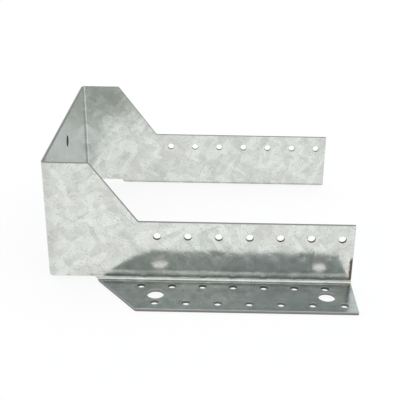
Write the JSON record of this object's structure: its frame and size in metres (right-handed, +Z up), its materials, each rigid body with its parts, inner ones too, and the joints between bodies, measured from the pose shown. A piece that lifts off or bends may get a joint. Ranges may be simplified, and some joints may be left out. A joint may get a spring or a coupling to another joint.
{
  "type": "joist hanger",
  "caption": "U-shaped joist hanger folded from galvanised sheet, with header flanges turned out from its legs, punched for nails and bolts, to carry a timber joist off a beam face.",
  "frame": {"origin": "on the header face, midway between the legs, at the bearing face of the seat: the middle of the joist's lower end edge", "axes": "+Z away from the header along the joist, +X from the seat to the leg ends (up in use), Y across the joist; the part lies on its two flanges with +Z up, as in the picture"},
  "size_m": [0.2, 0.236, 0.084],
  "materials": {
    "galvanised_steel": "hot-dip zinc, half bright, with faint spangle and handling scratches"
  },
  "bodies": {
    "root": {"joist_hanger": "galvanised_steel"}
  },
  "joints": []
}
